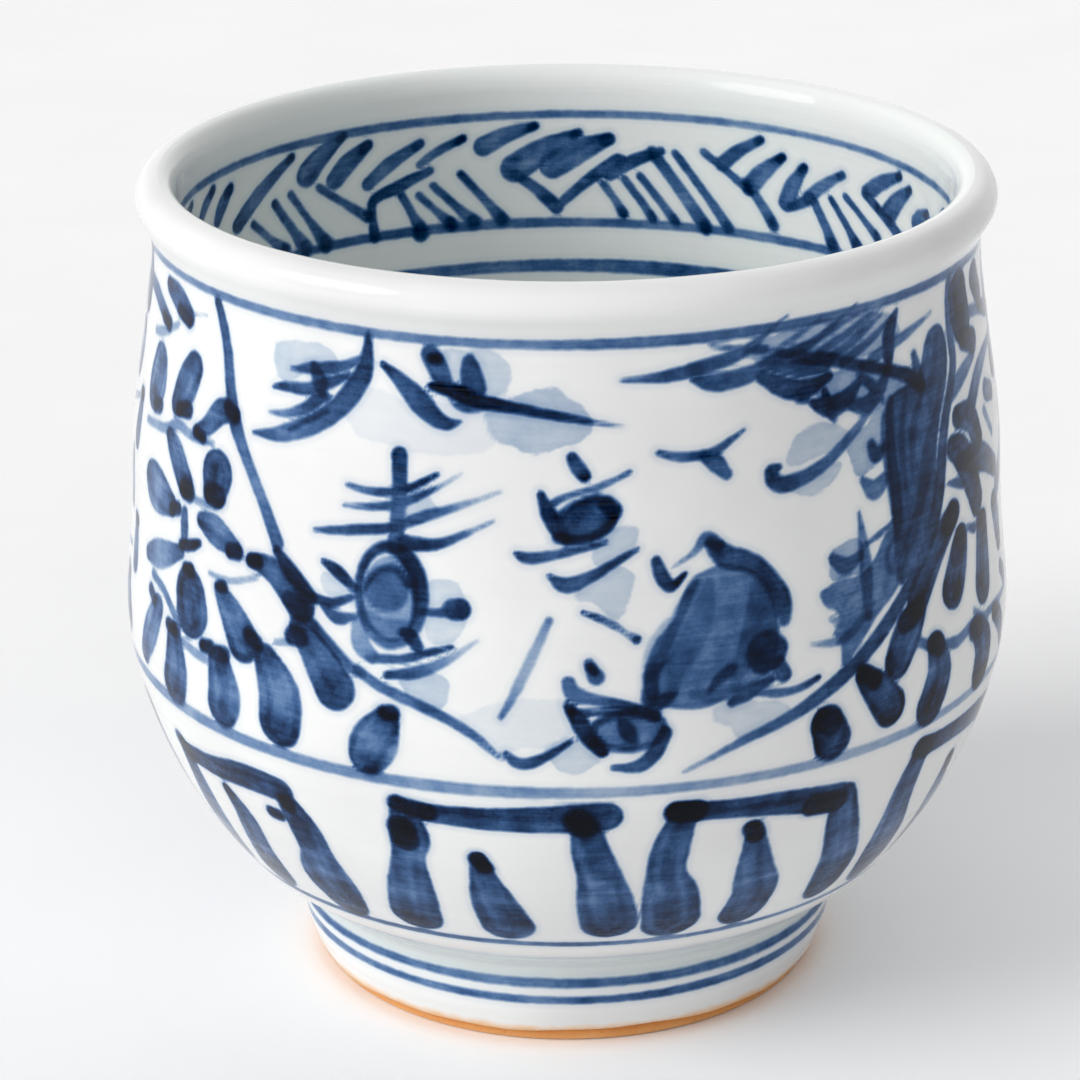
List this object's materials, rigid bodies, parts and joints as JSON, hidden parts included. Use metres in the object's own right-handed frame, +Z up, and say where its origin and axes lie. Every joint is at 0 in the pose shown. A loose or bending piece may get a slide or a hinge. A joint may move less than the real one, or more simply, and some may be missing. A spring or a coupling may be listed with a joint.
{
  "type": "teacup",
  "caption": "Handleless round-bellied porcelain teacup with a rolled lip and a ring foot, blue brush decoration under a clear glaze.",
  "frame": {"origin": "centre of the foot's standing edge, on the surface that the cup stands on", "axes": "+Z up along the cup's axis of revolution; -Y towards the painted scene's middle"},
  "size_m": [0.0862, 0.0862, 0.0806],
  "materials": {
    "porcelain_clay": "fired white porcelain clay, covered by glaze",
    "bare_foot_clay": "bare fired clay, scorched orange-brown at the standing edge, matt",
    "painted_outer_glaze": "glossy clear glaze over white porcelain with cobalt blue brush painting",
    "painted_inner_glaze": "glossy clear glaze, faintly grey-green, with a cobalt blue border",
    "plain_glaze": "glossy clear glaze, unpainted"
  },
  "bodies": {
    "root": {"porcelain_bowl": "porcelain_clay", "foot_ring": "bare_foot_clay", "outer_glaze": "painted_outer_glaze", "inner_glaze": "painted_inner_glaze", "foot_well_glaze": "plain_glaze"}
  },
  "joints": []
}
